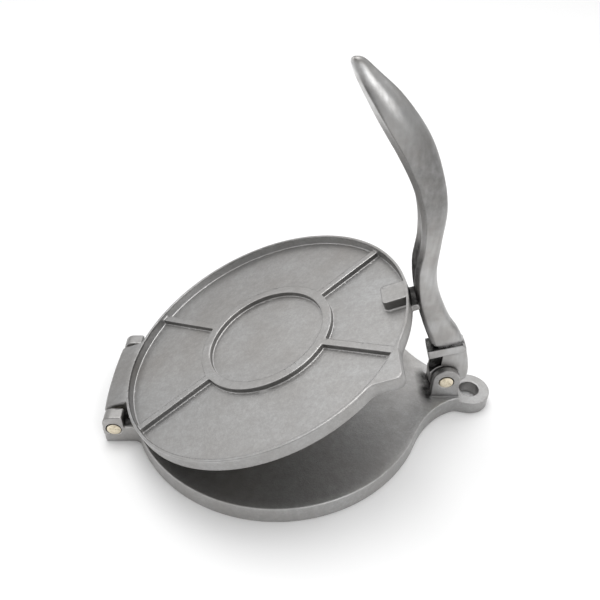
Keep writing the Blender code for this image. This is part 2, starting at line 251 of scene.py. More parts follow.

# Strength of each patch of painted shade, painted light and tarnish, on the scale that surface()
# gives.
TONES = {
    "lug_shadow": 0.9, "lug_foot": 0.6, "between_lug_ears": 0.8, "pin_hole": 0.95,
    "hinge_gap": 0.9, "base_face": 0.2, "hinge_ear_top": 0.2, "loop_top": 0.06,
    "lug_front": 0.12,
    "nose": 0.97, "rib_wall": 0.3, "rim_wall": 0.4, "far_rim_wall": 0.65, "rim_brink": 0.6,
    "near_brink": 0.5, "far_floor": 0.1, "side_foot": 0.3, "tongue": 0.2,
    "underside": 0.8, "arris": 0.55, "outer_side": 0.28, "outer_middle": 0.12, "grip": 0.47,
    "cap": 0.3, "collar_shade": 0.9, "collar_ledge": 0.9, "hub_pocket": 0.95, "underside_edge": 0.5,
}

# Camera, in mm from under the middle of the plate, and degrees.
CAMERA_PLACE = (12.0, -318.0, 349.4)
CAMERA_AZIMUTH = -0.35
CAMERA_ELEVATION = 39.21
CAMERA_ROLL = 0.63
LENS = 39.14
SENSOR = 36.0

# Brightness of the room above the horizon, and at it.
SKY_FRONT = 0.4
SKY_BACK = 1.3
SKY_HORIZON = 0.55

# Lights, as place and aim in metres, width in metres, and watts.
TOP_BOX = ((-0.2, 0.35, 1.7), (0.0, 0.0, 0.0), 1.1, 12.0)
KEY = ((0.75, -0.8, 0.9), (0.06, 0.0, 0.15), 0.8, 3.7)
FLOOR_RADIUS = 6.0
FLOOR_DROP = 0.0002


# ---------------------------------------------------------------- distance fields

def join_round(a, b, radius):
    """Union of two fields with a concave fillet."""
    corner = np.hypot(np.maximum(radius - a, 0.0), np.maximum(radius - b, 0.0))
    return np.maximum(radius, np.minimum(a, b)) - corner


def keep_round(a, b, radius):
    """What two fields share, with a rounded edge."""
    corner = np.hypot(np.maximum(radius + a, 0.0), np.maximum(radius + b, 0.0))
    return np.minimum(-radius, np.maximum(a, b)) + corner


def cut_round(a, b, radius):
    """The first field without the second, with a rounded edge."""
    return keep_round(a, -b, radius)


def span(value, low, high):
    """Distance outside the stretch from low to high."""
    return np.abs(value - (low + high) / 2.0) - (high - low) / 2.0


def rectangle(a, b, a_range, b_range, corner=0.0):
    """Exact distance to a rectangle with rounded corners."""
    across = span(a, a_range[0] + corner, a_range[1] - corner)
    along = span(b, b_range[0] + corner, b_range[1] - corner)
    outside = np.hypot(np.maximum(across, 0.0), np.maximum(along, 0.0))
    return outside + np.minimum(np.maximum(across, along), 0.0) - corner


def disc(a, b, centre_a, centre_b, radius):
    return np.hypot(a - centre_a, b - centre_b) - radius


def polygon(a, b, points):
    """Exact distance to a closed polygon, negative inside."""
    nearest = np.full(np.broadcast_shapes(a.shape, b.shape), np.inf)
    inside = np.zeros(nearest.shape, bool)
    for (a0, b0), (a1, b1) in zip(points, points[1:] + points[:1]):
        run_a, run_b = a1 - a0, b1 - b0
        share = ((a - a0) * run_a + (b - b0) * run_b) / (run_a ** 2 + run_b ** 2)
        share = np.clip(share, 0.0, 1.0)
        nearest = np.minimum(nearest, np.hypot(a - a0 - share * run_a, b - b0 - share * run_b))
        crosses = (b0 > b) != (b1 > b)
        slope = run_a / run_b if run_b else 0.0
        inside ^= crosses & (a < a0 + (b - b0) * slope)
    return np.where(inside, -nearest, nearest)


def arc(centre_a, centre_b, radius, start, end, steps):
    """Points on an arc, angles in degrees, both ends included."""
    points = []
    for i in range(steps + 1):
        angle = math.radians(start + (end - start) * i / steps)
        points.append((centre_a + radius * math.cos(angle), centre_b + radius * math.sin(angle)))
    return points


class Grid:
    """Voxel positions in a box, as three arrays that broadcast against each other."""

    def __init__(self, low, high):
        self.low = np.array(low) - MARGIN
        counts = np.ceil((np.array(high) + MARGIN - self.low) / VOXEL).astype(int) + 1
        axes = [self.low[i] + VOXEL * np.arange(counts[i]) for i in range(3)]
        self.x = axes[0][:, None, None]
        self.y = axes[1][None, :, None]
        self.z = axes[2][None, None, :]
        self.shape = tuple(counts)


def sample(field, places):
    """Trilinear values of a field at places given in voxels."""
    limit = np.array(field.shape) - 2
    cell = np.clip(np.floor(places).astype(int), 0, limit)
    share = np.clip(places - cell, 0.0, 1.0)
    total = np.zeros(len(places))
    for corner in np.ndindex(2, 2, 2):
        weight = np.ones(len(places))
        for axis in range(3):
            weight *= share[:, axis] if corner[axis] else 1.0 - share[:, axis]
        index = cell + corner
        total += weight * field[index[:, 0], index[:, 1], index[:, 2]]
    return total


def surface(name, field, grid, painted_light_and_wear):
    """Mesh of the field's zero surface, in metres, with the field's own normals.

    The attribute "edge" is above 0 on convex edges and below 0 in fillets. The attribute
    "painted_light_and_wear" comes from the function passed under that name: toward -1 it paints
    shade down to black, toward 1 a highlight up to bare metal; on the grip part of it is tarnish.
    """
    field = np.clip(np.broadcast_to(field, grid.shape), -BAND, BAND).astype(np.float32)
    volume = openvdb.FloatGrid()
    volume.background = BAND
    volume.copyFromArray(field)
    points, triangles, quads = volume.convertToPolygons(0.0, ADAPTIVITY)
    faces = triangles.tolist() + quads.tolist()
    mesh = bpy.data.meshes.new(name)
    mesh.from_pydata((grid.low + points * VOXEL) * MM, [], faces)
    slopes = np.zeros((len(points), 3))
    bend = -6.0 * sample(field, points)
    for axis in range(3):
        step = np.zeros(3)
        step[axis] = 1.0
        after = sample(field, points + step)
        before = sample(field, points - step)
        slopes[:, axis] = after - before
        bend += after + before
    slopes /= np.maximum(np.linalg.norm(slopes, axis=1, keepdims=True), 1e-9)
    edge = mesh.attributes.new("edge", "FLOAT", "POINT")
    edge.data.foreach_set("value", (bend / VOXEL).astype(np.float32))
    tone = mesh.attributes.new("painted_light_and_wear", "FLOAT", "POINT")
    tone.data.foreach_set("value", painted_light_and_wear(grid.low + points * VOXEL, slopes).astype(np.float32))
    mesh.shade_smooth()
    mesh.normals_split_custom_set_from_vertices(slopes)
    return mesh


def place(name, mesh, body, lift=0.0, about=(0.0, 0.0)):
    """Put a mesh into the frame: turned about Y by lift degrees around a point in X and Z."""
    mesh.transform(Matrix.Rotation(-math.radians(lift), 4, "Y"))
    piece = bpy.data.objects.new(name, mesh)
    bpy.context.scene.collection.objects.link(piece)
    corner = Vector((ORIGIN_X + about[0], 0.0, about[1])) * MM
    piece.matrix_world = Matrix.Translation(corner)
    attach(piece, body)
    return piece


# ---------------------------------------------------------------- castings

def ring_and_ribs(across, along, rim_radius, centre, shift):
    """The plan of a raised ring, shifted from the plate's centre, and its four ribs."""
    centre = centre + shift
    plan = np.abs(np.hypot(across - centre, along) - (RING_INNER + RING_OUTER) / 2.0)
    plan = plan - (RING_OUTER - RING_INNER) / 2.0
    for angle in RIB_ANGLES:
        cos, sin = math.cos(math.radians(angle)), math.sin(math.radians(angle))
        out = (across - centre) * cos + along * sin
        side = along * cos - (across - centre) * sin
        reach = math.sqrt((rim_radius + ROOT) ** 2 - (shift * sin) ** 2) - shift * cos
        root = RING_OUTER - 2.0 * ROOT
        rib = rectangle(out, side, (root, reach), (-RIB_WIDTH / 2.0, RIB_WIDTH / 2.0))
        plan = join_round(plan, rib, RIB_FILLET)
    return plan


def base_field(grid):
    """Plate, lug, loop, hinge ears and handle ears, with the underside's recess and ribs."""
    x, y, z = grid.x, grid.y, grid.z
    side = np.abs(y)
    plan = disc(x, y, 0.0, 0.0, PLATE_RADIUS)
    lug = rectangle(x, y, (LUG_START, LOOP_X), (-LUG_HALF, LUG_HALF))
    plan = join_round(plan, lug, LUG_FILLET)
    plan = join_round(plan, disc(x, y, LOOP_X, 0.0, LOOP_RADIUS), LOOP_NECK_FILLET)
    platform = rectangle(
        x, side, (EAR_LEFT, PLATFORM_END), (EAR_INNER, EAR_OUTER), PLATFORM_CORNER
    )
    plan = join_round(plan, platform, PLATFORM_FILLET)
    relief_x = (HINGE_X - BARREL_RELIEF_REACH, BARREL_RELIEF_X)
    relief_y = (-BARREL_RELIEF_HALF, BARREL_RELIEF_HALF)
    relief = rectangle(x, y, relief_x, relief_y, BARREL_RELIEF_CORNER)
    plan = np.maximum(plan, -relief)
    field = keep_round(plan, span(z, 0.0, BASE_THICKNESS), EDGE)
    step = keep_round(LOOP_STEP_X - x, LOOP_TOP - z, LOOP_STEP_FILLET)
    field = cut_round(field, step, SMALL_EDGE)

    profile = keep_round(EAR_LEFT - x, z - EAR_TOP, EAR_ROUND)
    profile = keep_round(profile, x - EAR_RIGHT, EAR_CORNER)
    profile = np.maximum(profile, BASE_THICKNESS - EAR_ROOT - z)
    ears = keep_round(profile, span(side, EAR_INNER, EAR_OUTER), EAR_EDGE)
    field = join_round(field, ears, EAR_FOOT)

    profile = np.minimum(
        disc(x, z, PIVOT_X, HANDLE_EAR_CENTRE_Z, HANDLE_EAR_HALF),
        rectangle(
            x, z, (PIVOT_X - HANDLE_EAR_HALF, PIVOT_X + HANDLE_EAR_HALF),
            (BASE_THICKNESS - HANDLE_EAR_ROOT, HANDLE_EAR_CENTRE_Z),
        ),
    )
    ears = keep_round(profile, span(side, HANDLE_EAR_INNER, HANDLE_EAR_OUTER), HANDLE_EAR_EDGE)
    field = join_round(field, ears, HANDLE_EAR_FOOT)

    hinge_hole = disc(x, z, HINGE_X, HINGE_Z + EAR_HOLE_RISE, EAR_HOLE_RADIUS)
    hinge_hole = np.maximum(hinge_hole, EAR_INNER - EAR_HOLE_PAST - side)
    field = cut_round(field, hinge_hole, SMALL_EDGE)
    pivot_hole = disc(x, z, PIVOT_X, PIVOT_Z + EAR_HOLE_RISE, EAR_HOLE_RADIUS)
    field = cut_round(field, pivot_hole, SMALL_EDGE)
    field = cut_round(field, disc(x, y, LOOP_X, 0.0, LOOP_HOLE_RADIUS), LOOP_HOLE_EDGE)

    recess = keep_round(disc(x, y, 0.0, 0.0, BASE_RIM_INNER), z - BASE_FLOOR, FILLET)
    field = cut_round(field, recess, SMALL_EDGE)
    plan = ring_and_ribs(x, y, BASE_RIM_INNER, 0.0, 0.0)
    ribs = keep_round(plan, span(z, BASE_FLOOR - RIB_HEIGHT, BASE_FLOOR + 2.0 * ROOT), SMALL_EDGE)
    return join_round(field, ribs, FILLET)


def lid_field(grid):
    """Plate with its rim, tab, tongue, nose, ring, ribs and pressing block."""
    u, v, w = grid.x, grid.y, grid.z
    plan = disc(u, v, LID_CENTRE, 0.0, LID_RADIUS)
    tab = rectangle(
        u, v, (TAB_START, LID_CENTRE + TAB_REACH), (-TAB_SIDE, -TAB_INNER), TAB_CORNER
    )
    plan = join_round(plan, tab, TAB_FILLET)
    field = keep_round(plan, span(w, LID_BOTTOM, LID_TOP), EDGE)

    outline = disc(u, v, TONGUE_BACK + TONGUE_RADIUS, 0.0, TONGUE_RADIUS)
    tongue = keep_round(outline, w - LID_TOP, TONGUE_ROLL)
    tongue = np.maximum(tongue, LID_BOTTOM - w)
    tongue = np.maximum(tongue, u - TONGUE_END)
    barrel = disc(u, w, 0.0, 0.0, BARREL_RADIUS)
    tongue = join_round(tongue, barrel, BARREL_FILLET)
    # The tongue's back, upright at rest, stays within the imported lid's box.
    lift = math.radians(LID_ANGLE)
    back = (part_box("lid")[0].x - HINGE.x) / MM
    behind = back - u * math.cos(lift) + w * math.sin(lift)
    tongue = keep_round(tongue, behind, TONGUE_BACK_EDGE)
    tongue = keep_round(tongue, np.abs(v) - TONGUE_HALF, TONGUE_EDGE)
    field = join_round(field, tongue, TONGUE_FILLET)

    nose = rectangle(u, v, (NOSE_START, NOSE_END), (NOSE_NEAR, NOSE_FAR), NOSE_CORNER)
    nose = keep_round(nose, span(w, LID_BOTTOM, NOSE_TOP), NOSE_EDGE)
    field = join_round(field, nose, NOSE_EDGE)
    # The pressing face and the rim's top stay flat where tongue and nose join them.
    under = np.maximum(w - LID_BOTTOM, LID_CENTRE - LID_RADIUS - u)
    field = np.maximum(field, -under)
    field = np.maximum(field, w - LID_TOP)

    cavity = keep_round(disc(u, v, LID_CENTRE, 0.0, RIM_INNER), LID_FLOOR - w, FILLET)
    field = cut_round(field, cavity, SMALL_EDGE)
    plan = ring_and_ribs(u, v, RIM_INNER, LID_CENTRE, RING_SHIFT)
    ribs = keep_round(plan, span(w, LID_BOTTOM + ROOT, LID_FLOOR + RIB_HEIGHT), SMALL_EDGE)
    field = join_round(field, ribs, FILLET)
    block = rectangle(u, v, (BLOCK_START, BLOCK_END), (-BLOCK_HALF, BLOCK_HALF), BLOCK_CORNER)
    block = keep_round(block, span(w, LID_BOTTOM + ROOT, LID_TOP), SMALL_EDGE)
    field = join_round(field, block, FILLET)

    bore = disc(u, w, 0.0, 0.0, PIN_BORE_RADIUS)
    bore = np.maximum(bore, HINGE_PIN_INNER - BORE_PAST - np.abs(v))
    return cut_round(field, bore, BORE_EDGE)


def spline(values, position):
    """Catmull-Rom value at a position along a list of vectors."""
    last = len(values) - 1
    i = min(int(position), last - 1)
    t = position - i
    p0 = values[max(i - 1, 0)]
    p1 = values[i]
    p2 = values[i + 1]
    p3 = values[min(i + 2, last)]
    return 0.5 * (
        2.0 * p1
        + (p2 - p0) * t
        + (2.0 * p0 - 5.0 * p1 + 4.0 * p2 - p3) * t ** 2
        + (3.0 * p1 - p0 - 3.0 * p2 + p3) * t ** 3
    )


def lever_ring(position):
    """One cross-section of the lever: a rounded outer side, a flat underside with a groove."""
    under = spline([Vector(row[0]) for row in LEVER_SECTIONS], position)
    outer = spline([Vector(row[1]) for row in LEVER_SECTIONS], position)
    half_width, square = spline([Vector((row[2], row[3])) for row in LEVER_SECTIONS], position)
    depth = (outer - under).length
    ease = min(position - GROOVE_START, GROOVE_END - position, 1.0)
    groove = GROOVE_DEPTH * max(ease, 0.0) / depth
    ring = []
    for i in range(LEVER_ROUND + 1):
        angle = math.pi * i / LEVER_ROUND
        across = -math.copysign(abs(math.cos(angle)) ** (2.0 / square), math.cos(angle))
        height = math.sin(angle) ** (2.0 / square)
        point = under.lerp(outer, SHOULDER + (1.0 - SHOULDER) * height)
        ring.append((point.x, half_width * across, point.y))
    flat = ((FLAT_HALF, 0.0), (GROOVE_HALF, 0.0), (GROOVE_FLOOR, groove))
    for across, share in flat:
        point = under.lerp(outer, share)
        ring.append((point.x, half_width * across, point.y))
    for across, share in reversed(flat):
        point = under.lerp(outer, share)
        ring.append((point.x, -half_width * across, point.y))
    return ring


def softened(field, axis):
    """Blur a field along one axis with binomial weights."""
    padded = np.pad(field, [(2, 2) if i == axis else (0, 0) for i in range(3)], mode="edge")
    count = field.shape[axis]
    total = np.zeros_like(field)
    for offset, weight in enumerate((1.0, 4.0, 6.0, 4.0, 1.0)):
        total += weight / 16.0 * np.take(padded, range(offset, offset + count), axis)
    return total


def lever_field(grid):
    """The lever's lofted shell as a distance field."""
    points = []
    count = (len(LEVER_SECTIONS) - 1) * LEVER_STEPS
    for i in range(count + 1):
        points += lever_ring(i / LEVER_STEPS)
    size = len(points) // (count + 1)
    triangles = []
    for i in range(count):
        for k in range(size):
            a, b = i * size + k, i * size + (k + 1) % size
            triangles += [(a, b, b + size), (a, b + size, a + size)]
    for i in range(1, size - 1):
        triangles.append((0, i + 1, i))
    tip = len(points)
    points.append((LEVER_TIP[0], 0.0, LEVER_TIP[1]))
    last = count * size
    for k in range(size):
        triangles.append((last + k, last + (k + 1) % size, tip))
    places = (np.array(points) - grid.low) / VOXEL
    shell = openvdb.FloatGrid.createLevelSetFromPolygons(
        places.astype(np.float32), triangles=np.array(triangles, np.uint32), halfWidth=8.0
    )
    field = np.zeros(grid.shape, np.float32)
    shell.copyToArray(field)
    for axis in range(3):
        field = softened(field, axis)
    return field * VOXEL


def handle_field(grid):
    """Lever, hub with its side pockets, and collar."""
    x, y, z = grid.x, grid.y, grid.z
    hub_points = arc(PIVOT_X, PIVOT_Z, HUB_RADIUS, 180.0, HUB_ROUND_END, 18)
    hub_points += [(PIVOT_X + a, PIVOT_Z + b) for a, b in HUB_BACK]
    hub = keep_round(polygon(x, z, hub_points), np.abs(y) - HUB_HALF, HUB_EDGE)
    pocket = rectangle(x, z, POCKET_X, POCKET_Z, POCKET_CORNER)
    pocket = np.maximum(pocket, HUB_RADIUS + HUB_WALL - np.hypot(x - PIVOT_X, z - PIVOT_Z))
    hub = cut_round(hub, np.maximum(pocket, POCKET_WEB - np.abs(y)), POCKET_EDGE)
    collar = keep_round(polygon(x, z, list(COLLAR)), np.abs(y) - COLLAR_HALF, COLLAR_EDGE)
    field = lever_field(grid)
    field = join_round(field, hub, HUB_FILLET)
    field = join_round(field, collar, COLLAR_FILLET)
    bore = disc(x, z, PIVOT_X, PIVOT_Z, PIN_BORE_RADIUS)
    return cut_round(field, bore, BORE_EDGE)


def fade(distance, reach):
    """1 up to distance 0, down to 0 at the reach."""
    return 1.0 - np.clip(distance / reach, 0.0, 1.0)


def base_painted_light(points, slopes):
    """Painted shade on the top face, by the ears, in pin holes; painted light on loop and front.
    """
    x, y, z = points.T
    facing_side, facing_up = np.abs(slopes[:, 1]), slopes[:, 2]
    ears_x = (PIVOT_X - HANDLE_EAR_HALF - 2.0, PIVOT_X + HANDLE_EAR_HALF)
    ears = rectangle(x, y, ears_x, (-HANDLE_EAR_OUTER, HANDLE_EAR_OUTER), 1.0)
    # Painted shadow on the plate's top, left of the handle's ears.
    left = TONES["lug_shadow"] * fade(np.maximum(ears - 2.0, 0.0), 8.0) ** 2
    left = left * (x < PIVOT_X - HANDLE_EAR_HALF)
    left = left * fade(z - BASE_THICKNESS - 0.5, 1.0)
    # Painted shade along the feet of the handle's ears.
    foot = TONES["lug_foot"] * fade(np.abs(ears) - 0.8, 0.8)
    foot = foot * fade(np.abs(z - BASE_THICKNESS - 0.4) - 0.6, 0.8)
    # Painted shade between the handle's ears.
    between = TONES["between_lug_ears"] * (np.abs(y) < HANDLE_EAR_INNER + 0.2) * (ears < 0.0)
    pivot_hole = np.hypot(x - PIVOT_X, z - PIVOT_Z - EAR_HOLE_RISE) - EAR_HOLE_RADIUS
    hinge_hole = np.hypot(x - HINGE_X, z - HINGE_Z - EAR_HOLE_RISE) - EAR_HOLE_RADIUS
    # Painted shade on the down-facing walls of the pin holes, above the pins.
    holes = TONES["pin_hole"] * fade(np.minimum(pivot_hole, hinge_hole) - 0.1, 0.3)
    holes = holes * (facing_side < 0.8) * fade(facing_up - 0.1, 0.4)
    # Painted shade on the platform right of the hinge ears and on the ears' lower right faces.
    gap = TONES["hinge_gap"] * (np.abs(y) > EAR_INNER - 4.0)
    gap = gap * fade(np.abs(y) - EAR_OUTER + 2.5, 1.5)
    gap = gap * (x > EAR_RIGHT - 0.6) * fade(x + 85.0, 4.0) * (z > BASE_THICKNESS - 0.6)
    gap = gap * (facing_side < 0.6) * fade(z - EAR_TOP + 3.0, 1.5)
    # Painted shade over the plate's upward faces, deepening the shade under the lid.
    face = TONES["base_face"] * (facing_up > 0.9)
    face = face * fade(np.hypot(x, y) - PLATE_RADIUS + 4.0, 3.0)
    # Painted shade on the upward faces of the hinge ears.
    ear_top = TONES["hinge_ear_top"] * (x < EAR_RIGHT + 4.0)
    ear_top = ear_top * (z > BASE_THICKNESS + 1.0) * (facing_up > 0.3)
    # Painted light on the loop's upward faces.
    loop = TONES["loop_top"] * (x > LOOP_STEP_X - 2.0) * (facing_up > 0.8)
    # Painted light on the faces that look to the front, fading out toward the lug.
    front = TONES["lug_front"] * fade(slopes[:, 1] + 0.7, 0.3) * fade(x - 60.0, 30.0)
    return loop + front - np.maximum.reduce([left, foot, between, holes, gap, face, ear_top])


def lid_painted_light(points, slopes):
    """Painted shade on walls, nose, brink and far side; painted light on the rim; a darker
    tongue.
    """
    u, v, w = points.T
    facing_out, facing_up = slopes[:, 0], slopes[:, 2]
    radius = np.hypot(u - LID_CENTRE, v)
    # Painted shade on the nose's top and end, beside the rim, leaving its near face light.
    top = (u > LID_CENTRE + LID_RADIUS - 1.0) & (np.abs(v) < 20.0) & (w < LID_TOP - 2.0)
    nose_shade = TONES["nose"] * top * fade(0.5 - facing_out - facing_up, 0.3)
    nose_shade = nose_shade * fade(NOSE_NEAR + 1.2 - v, 1.0)
    # Painted shade on the steep walls of ring, ribs and block.
    wall = TONES["rib_wall"] * (radius < RIM_INNER - 1.2) * (w > LID_FLOOR)
    wall = wall * fade(facing_up - 0.75, 0.2)
    wall = wall * fade(LID_FLOOR + 0.45 - w, 0.25)
    # Painted light on the far part of the inner rim wall, painted shade on its near part.
    rim = (np.abs(radius - RIM_INNER) < 0.6) * (w > LID_FLOOR) * fade(facing_up - 0.5, 0.3)
    rim = rim * (TONES["rim_wall"] - TONES["far_rim_wall"] * fade(v - 20.0, 40.0))
    # On the rim's inner top edge: painted shade, turning to a painted highlight on its near part
    # away from the hinge.
    edge = (np.abs(radius - RIM_INNER) < 0.5) * (w > LID_TOP - 0.5) * (facing_up < 0.95)
    highlight_zone = fade(110.0 - u, 30.0) * (v < 0.0)
    brink = TONES["rim_brink"] * edge * (1.0 - highlight_zone)
    # Painted shade on upward faces, growing toward the far side.
    far = TONES["far_floor"] * np.clip(v / 60.0, 0.0, 1.0) * (facing_up > 0.9)
    # Painted shade low on the lid's outer side, short of its nearest part.
    below = TONES["side_foot"] * fade(w - 3.0, 3.0) * (facing_up < 0.5)
    below = below * (radius > RIM_INNER + 1.0)
    below = below * fade(-70.0 - v, 8.0)
    tongue = TONES["tongue"] * fade(u - 8.0, 3.0)
    bright = rim + TONES["near_brink"] * edge * highlight_zone
    return bright - np.maximum.reduce([nose_shade, wall, far, below, tongue, brink])


def handle_painted_light_and_tarnish(points, slopes):
    """Painted shade and highlights on lever, hub and collar; a darker grip of shade and tarnish.
    """
    x, y, z = points.T
    facing_out, facing_up = slopes[:, 0], slopes[:, 2]
    above_collar = fade(LEVER_START - z, 4.0)
    facing_down = fade(facing_out + 0.75, 0.45)
    # Painted shade on the lever's underside, from the collar up to the lever's middle.
    under = TONES["underside"] * facing_down * above_collar * fade(z - UNDERSIDE_DARK_END, 16.0)
    # Painted shade along the arris on the underside's side, high on the lever.
    arris = TONES["arris"] * fade(np.abs(facing_out + 0.2) - 0.08, 0.1)
    arris = arris * fade(ARRIS_START - z, 10.0)
    # Painted shade on the outer side, lighter above the lever's middle.
    outer = TONES["outer_side"] - TONES["outer_middle"] * fade(LEVER_MIDDLE - z, 20.0)
    outer = outer * fade(0.5 - facing_out, 0.35) * above_collar
    # A darker band over the grip: painted shade and tarnish from hands.
    grip = TONES["grip"] * fade(np.abs(z - GRIP_MIDDLE) - 12.0, 30.0)
    # Painted shade on the upward-facing cap of the tip.
    cap = TONES["cap"] * (z > CAP_START) * fade(0.7 - facing_up, 0.2)
    collar = polygon(x, z, list(COLLAR))
    # Painted shade in a band just outside the collar, on the hub and web.
    collar_shade = TONES["collar_shade"] * fade(collar - 0.3, 2.0)
    collar_shade = collar_shade * (collar > 0.25) * (np.abs(y) < HUB_HALF + 0.8)
    # Painted shade on the upward faces at the collar's outline.
    ledge = TONES["collar_ledge"] * (np.abs(collar) < 0.8) * fade(0.85 - facing_up, 0.25)
    # Painted shade in the hub's side pockets.
    hollow = rectangle(x, z, POCKET_X, POCKET_Z, 1.0)
    hollow = TONES["hub_pocket"] * fade(hollow, 1.0) * (np.abs(y) < HUB_HALF - 0.2)
    shade_and_tarnish = np.maximum.reduce([under, arris, outer, grip, cap, collar_shade, ledge, hollow])
    # Painted highlight on the tip's faces away from the outer side.
    tip = fade(TIP_START - z, 7.0) * fade(facing_out - 0.1, 0.3) * fade(facing_up - 0.5, 0.2)
    # Painted highlight on the underside's faces, high on the lever.
    edge = TONES["underside_edge"] * fade(facing_out + 0.5, 0.15)
    edge = edge * fade(UNDERSIDE_EDGE_START - z, 12.0)
    return np.maximum(tip, edge) - shade_and_tarnish


def build_castings():
    """The base, the lid and the handle, each in place on its own body."""
    base_low, base_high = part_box("base")
    shift = Vector((ORIGIN_X, 0.0, 0.0))
    grid = Grid(base_low / MM - shift, base_high / MM - shift)
    base_mesh = surface("base_casting", base_field(grid), grid, base_painted_light)
    base = place("base_casting", base_mesh, "base")
    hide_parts("base")
    lid_grid = Grid((-8.0, -LID_RADIUS, -BARREL_RADIUS), (NOSE_END, LID_RADIUS, LID_TOP))
    lid_mesh = surface("lid_casting", lid_field(lid_grid), lid_grid, lid_painted_light)
    lid = place("lid_casting", lid_mesh, "lid", LID_ANGLE, (HINGE_X, HINGE_Z))
    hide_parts("lid")
    handle_low, handle_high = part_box("handle")
    grid = Grid(handle_low / MM - shift, handle_high / MM - shift)
    handle_mesh = surface("handle_casting", handle_field(grid), grid, handle_painted_light_and_tarnish)
    handle = place("handle_casting", handle_mesh, "handle")
    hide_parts("handle")
    return base, lid, handle


# ---------------------------------------------------------------- pins

def pin_mesh(name, inner, outer, domed_inner=False):
    """A turned pin along Y: chamfered inner end, slightly domed outer end."""
    dome = [(outer, 0.0)]
    for share in (0.3, 0.55, 0.75, 0.88, 0.96, 1.0):
        drop = PEENED_DROP * share ** 4
        dome.append((outer - drop, PEENED_RADIUS * share))
    dome.append((outer - PEENED_LENGTH, PEENED_RADIUS))
    dome.append((outer - PEENED_END, PIN_RADIUS))
    if domed_inner:
        tail = [(-y, radius) for y, radius in reversed(dome)]
    else:
        chamfer = (inner, PIN_RADIUS - PIN_CHAMFER)
        tail = [(inner + PIN_CHAMFER, PIN_RADIUS), chamfer, (inner, 0.0)]
    shape = bmesh.new()
    line = [shape.verts.new((radius, y, 0.0)) for y, radius in dome + tail]
    edges = [shape.edges.new(pair) for pair in zip(line, line[1:])]
    bmesh.ops.spin(
        shape, geom=line + edges, cent=(0.0, 0.0, 0.0), axis=(0.0, 1.0, 0.0),
        angle=math.tau, steps=PIN_SEGMENTS, use_merge=True,
    )
    bmesh.ops.remove_doubles(shape, verts=shape.verts, dist=0.001)
    bmesh.ops.recalc_face_normals(shape, faces=shape.faces)
    bmesh.ops.scale(shape, vec=(MM, MM, MM), verts=shape.verts)
    mesh = bpy.data.meshes.new(name)
    shape.to_mesh(mesh)
    shape.free()
    mesh.shade_smooth()
    mesh.set_sharp_from_angle(angle=math.radians(40.0))
    return mesh


def build_pins():
    """Two short hinge pins, which turn with the lid, and the handle's pin."""
    pins = []
    for node, side in (("hinge_pin_front", -1.0), ("hinge_pin_back", 1.0)):
        mesh = pin_mesh(node, HINGE_PIN_INNER, EAR_OUTER + PIN_PROUD)
        if side < 0.0:
            mesh.transform(Matrix.Rotation(math.pi, 4, "Z"))
        pin = place(node + "_turned", mesh, "lid", LID_ANGLE, (HINGE_X, HINGE_Z))
        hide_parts(node)
        pins.append(pin)
    reach = HANDLE_EAR_OUTER + PIN_PROUD
    mesh = pin_mesh("handle_pin", -reach, reach, domed_inner=True)
    pin = place("handle_pin_turned", mesh, "handle", 0.0, (PIVOT_X, PIVOT_Z))
    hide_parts("handle_pin")
    pins.append(pin)
    return pins


# ---------------------------------------------------------------- finishes

